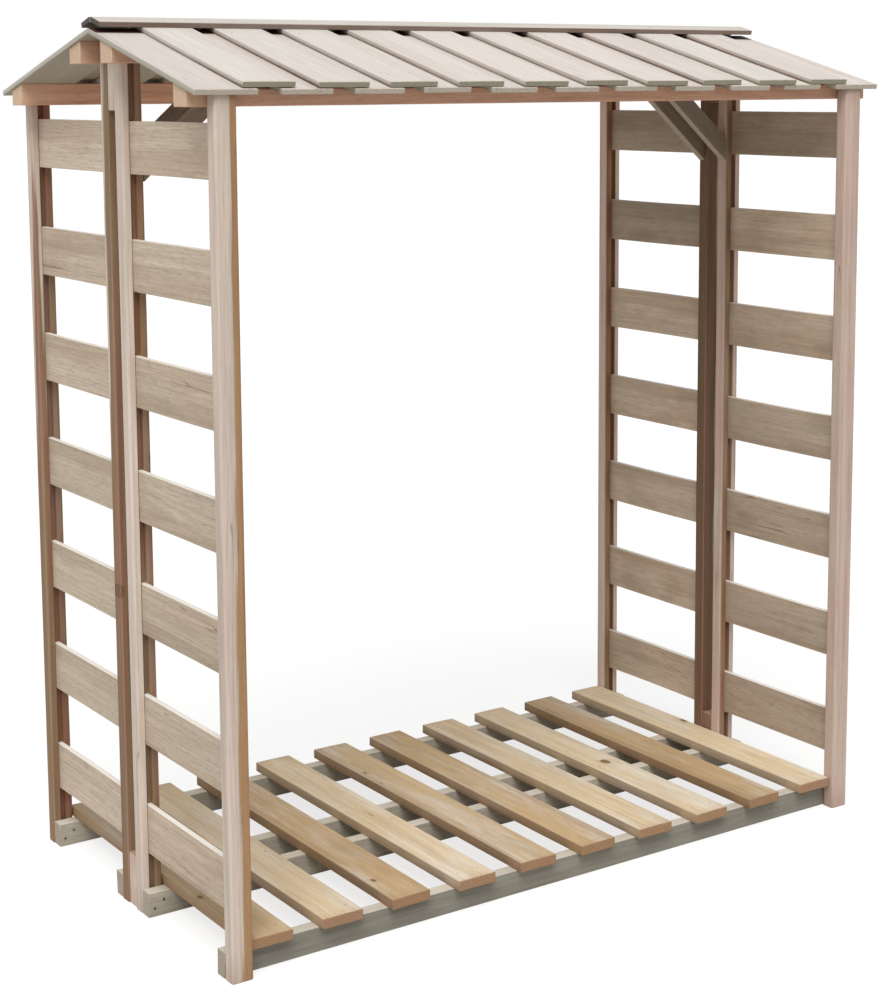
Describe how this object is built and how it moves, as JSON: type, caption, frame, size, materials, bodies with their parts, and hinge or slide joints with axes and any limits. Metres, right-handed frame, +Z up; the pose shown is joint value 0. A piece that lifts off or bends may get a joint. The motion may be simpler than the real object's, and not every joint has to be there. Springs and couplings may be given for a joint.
{
  "type": "log store",
  "caption": "Free-standing double-sided timber log store: grooved posts, slatted ends, raised slat floor and board-on-board gable roof, open front and rear.",
  "frame": {"origin": "middle of the footprint at ground level", "axes": "+X along the length, +Y from the front to the rear, +Z up"},
  "size_m": [1.662, 0.8712, 1.7664],
  "materials": {
    "post_timber": "planed pressure-treated softwood, weathered",
    "slat_timber": "sawn softwood, weathered grey-beige",
    "joist_timber": "sawn softwood, grey-green",
    "floor_timber": "sawn softwood, warm tan",
    "purlin_timber": "sawn softwood, reddish brown",
    "brace_timber": "sawn softwood, brown",
    "roof_timber": "sawn softwood, pale and bleached",
    "ridge_timber": "sawn softwood, pale grey"
  },
  "bodies": {
    "root": {"front_left_post": "post_timber", "mid_front_left_post": "post_timber", "mid_rear_left_post": "post_timber", "rear_left_post": "post_timber", "front_right_post": "post_timber", "mid_front_right_post": "post_timber", "mid_rear_right_post": "post_timber", "rear_right_post": "post_timber", "left_foot_spacer": "post_timber", "left_head_spacer": "post_timber", "right_foot_spacer": "post_timber", "right_head_spacer": "post_timber", "front_left_slats": "slat_timber", "rear_left_slats": "slat_timber", "front_right_slats": "slat_timber", "rear_right_slats": "slat_timber", "front_joist": "joist_timber", "mid_front_joist": "joist_timber", "mid_rear_joist": "joist_timber", "rear_joist": "joist_timber", "floor_slats": "floor_timber", "front_eave_purlin": "purlin_timber", "front_ridge_purlin": "purlin_timber", "rear_ridge_purlin": "purlin_timber", "rear_eave_purlin": "purlin_timber", "front_left_brace": "brace_timber", "rear_left_brace": "brace_timber", "front_right_brace": "brace_timber", "rear_right_brace": "brace_timber", "front_lower_boards": "roof_timber", "front_upper_boards": "roof_timber", "rear_lower_boards": "roof_timber", "rear_upper_boards": "roof_timber", "front_ridge_board": "ridge_timber", "rear_ridge_board": "ridge_timber"}
  },
  "joints": []
}
